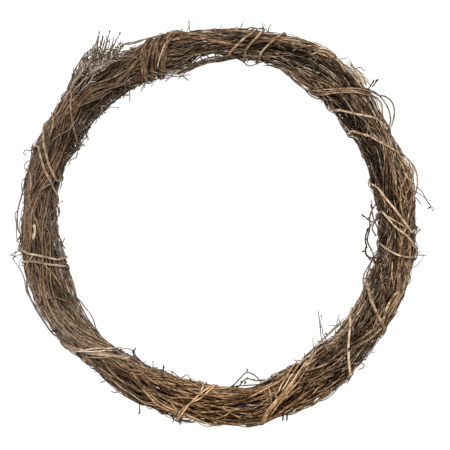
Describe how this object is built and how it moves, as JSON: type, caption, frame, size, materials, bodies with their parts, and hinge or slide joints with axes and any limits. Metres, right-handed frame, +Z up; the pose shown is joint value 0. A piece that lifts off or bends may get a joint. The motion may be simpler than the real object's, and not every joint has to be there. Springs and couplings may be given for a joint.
{
  "type": "wreath",
  "caption": "Round wreath of bundled woody vines tied with paler wound binders, with loose strands, budded twigs and a wide open middle.",
  "frame": {"origin": "middle of the wreath's box, on the surface that it lies on", "axes": "+Z up through the ring's opening, out of the face seen in the picture; +Y towards the picture's top; +X towards its right"},
  "size_m": [0.4202, 0.4027, 0.0489],
  "materials": {
    "bark_brown": "rough brown bark",
    "bark_grey": "rough grey-brown bark",
    "bark_tan": "matte tan bark",
    "binder_tan": "smooth pale tan bark",
    "twig_dark": "rough dark bark"
  },
  "bodies": {
    "root": {"inner_strand_01": "bark_brown", "inner_strand_02": "bark_brown", "inner_strand_03": "bark_grey", "inner_strand_04": "bark_brown", "outer_strand_01": "bark_brown", "outer_strand_02": "bark_brown", "outer_strand_03": "bark_grey", "outer_strand_04": "bark_brown", "outer_strand_05": "bark_brown", "outer_strand_06": "bark_grey", "outer_strand_07": "bark_brown", "outer_strand_08": "bark_brown", "outer_strand_09": "bark_grey", "outer_strand_10": "bark_brown", "outer_strand_11": "bark_brown", "outer_strand_12": "bark_grey", "runner_1": "bark_tan", "runner_2": "bark_tan", "runner_3": "bark_tan", "runner_4": "bark_tan", "runner_5": "bark_tan", "runner_6": "bark_tan", "runner_7": "bark_tan", "runner_8": "bark_tan", "binder_collar": "binder_tan", "binder_top": "binder_tan", "binder_upper_right": "binder_tan", "binder_right_high": "binder_tan", "binder_right": "binder_tan", "binder_right_low": "binder_tan", "binder_strap": "binder_tan", "binder_cane": "binder_tan", "binder_lower_right": "binder_tan", "binder_bottom": "binder_tan", "binder_lower_left": "binder_tan", "binder_left": "binder_tan", "binder_upper_left": "binder_tan", "binder_shoulder": "binder_tan", "loose_loop": "bark_grey", "loose_loop_inner": "bark_grey", "loose_top_left": "bark_grey", "loose_inner_top": "bark_grey", "loose_inner_upper_right": "bark_grey", "loose_left_edge": "bark_grey", "loose_lower_left": "bark_grey", "loose_inner_left": "bark_grey", "loose_inner_right": "bark_grey", "tendril_right": "bark_grey", "tendril_bottom": "bark_grey", "tendril_lower_right": "bark_grey", "brush_low": "twig_dark", "brush_middle": "twig_dark", "brush_high": "twig_dark", "brush_crown": "twig_dark", "twig_top": "twig_dark", "twig_left": "twig_dark", "twig_right": "twig_dark", "twig_right_spike": "twig_dark", "twig_lower_right": "twig_dark"}
  },
  "joints": []
}
